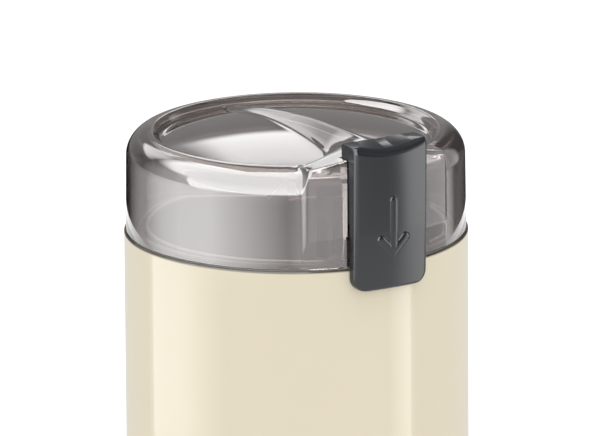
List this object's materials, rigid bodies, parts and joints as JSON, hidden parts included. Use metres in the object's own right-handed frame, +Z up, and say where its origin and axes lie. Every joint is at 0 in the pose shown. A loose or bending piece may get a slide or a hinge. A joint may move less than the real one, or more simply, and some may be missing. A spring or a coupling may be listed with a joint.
{
  "type": "electric spice grinder",
  "caption": "Round blade grinder for spices and coffee with a clear smoky lid, a press-down button on the lid and a steel bowl over its motor.",
  "frame": {"origin": "on the body's axis, on the surface that the feet stand on", "axes": "+Z up along the body's axis, -Y to the front, where the button is, and +X to the right as seen from the front"},
  "size_m": [0.088, 0.0941, 0.1558],
  "materials": {
    "cream_plastic": "gloss",
    "anthracite_plastic": "satin",
    "button_plastic": "satin",
    "smoky_plastic": "clear, smoky, polished",
    "grey_plastic": "satin",
    "white_plastic": "satin",
    "black_rubber": "matte",
    "zinc_steel": "zinc plated",
    "bowl_steel": "brushed",
    "blade_steel": "ground",
    "core_steel": "laminated sheet",
    "spring_steel": "bright wire",
    "enamel_copper": "enamelled",
    "bronze": "sintered",
    "cast_alloy": "die cast",
    "carbon": "matte",
    "yellow_film": "gloss",
    "blue_insulation": "satin"
  },
  "bodies": {
    "base": {"housing": "cream_plastic", "base_plate": "anthracite_plastic", "rubber_feet": "black_rubber", "base_screws": "zinc_steel", "cord_gland": "black_rubber", "bowl_carrier": "grey_plastic", "carrier_screws": "zinc_steel", "grinding_bowl": "bowl_steel", "bowl_seal": "black_rubber", "stator_core": "core_steel", "stator_coils": "enamel_copper", "upper_bracket": "cast_alloy", "lower_bracket": "cast_alloy", "upper_bearing": "bronze", "lower_bearing": "bronze", "motor_bolts": "zinc_steel", "motor_mounts": "black_rubber", "motor_mount_screws": "zinc_steel", "brush_holders": "bronze", "carbon_brushes": "carbon", "brush_springs": "spring_steel", "switch_base": "anthracite_plastic", "plunger_spring": "spring_steel", "fixed_contact": "bronze", "suppression_capacitor": "yellow_film", "motor_leads": "blue_insulation"},
    "rotor": {"blade": "blade_steel", "blade_nut": "zinc_steel", "motor_shaft": "blade_steel", "rotor_core": "core_steel", "rotor_windings": "enamel_copper", "commutator": "enamel_copper", "cooling_fan": "white_plastic"},
    "plunger": {"switch_plunger": "white_plastic"},
    "contact": {"moving_contact": "bronze"},
    "lid": {"lid_shell": "smoky_plastic", "lid_guide": "smoky_plastic", "button_spring": "spring_steel"},
    "button": {"button": "button_plastic"}
  },
  "joints": [
    {"name": "lid_lift", "type": "slide", "parent": "base", "child": "lid", "axis": [0, 0, 1], "range_m": [0, 0.06]},
    {"name": "button_press", "type": "slide", "parent": "lid", "child": "button", "axis": [0, 0, -1], "range_m": [0, 0.004], "stiffness_N_per_m": 500, "springref_m": -0.004, "deforming": ["button_spring"]},
    {"name": "plunger_travel", "type": "slide", "parent": "base", "child": "plunger", "axis": [0, 0, -1], "range_m": [0, 0.004], "stiffness_N_per_m": 200, "springref_m": -0.004, "deforming": ["plunger_spring"]},
    {"name": "contact_flex", "type": "hinge", "parent": "base", "child": "contact", "pos_m": [-0.013, -0.03143, 0.0714], "axis": [0, 1, 0], "range_deg": [0, 18]},
    {"name": "rotor_spin", "type": "hinge", "parent": "base", "child": "rotor", "pos_m": [0, 0, 0.05], "axis": [0, 0, 1], "continuous": true}
  ],
  "couplings": [
    {"joint": "plunger_travel", "follows": "button_press", "ratio": 1},
    {"joint": "contact_flex", "follows": "button_press", "rad_per_m": 76.92}
  ]
}
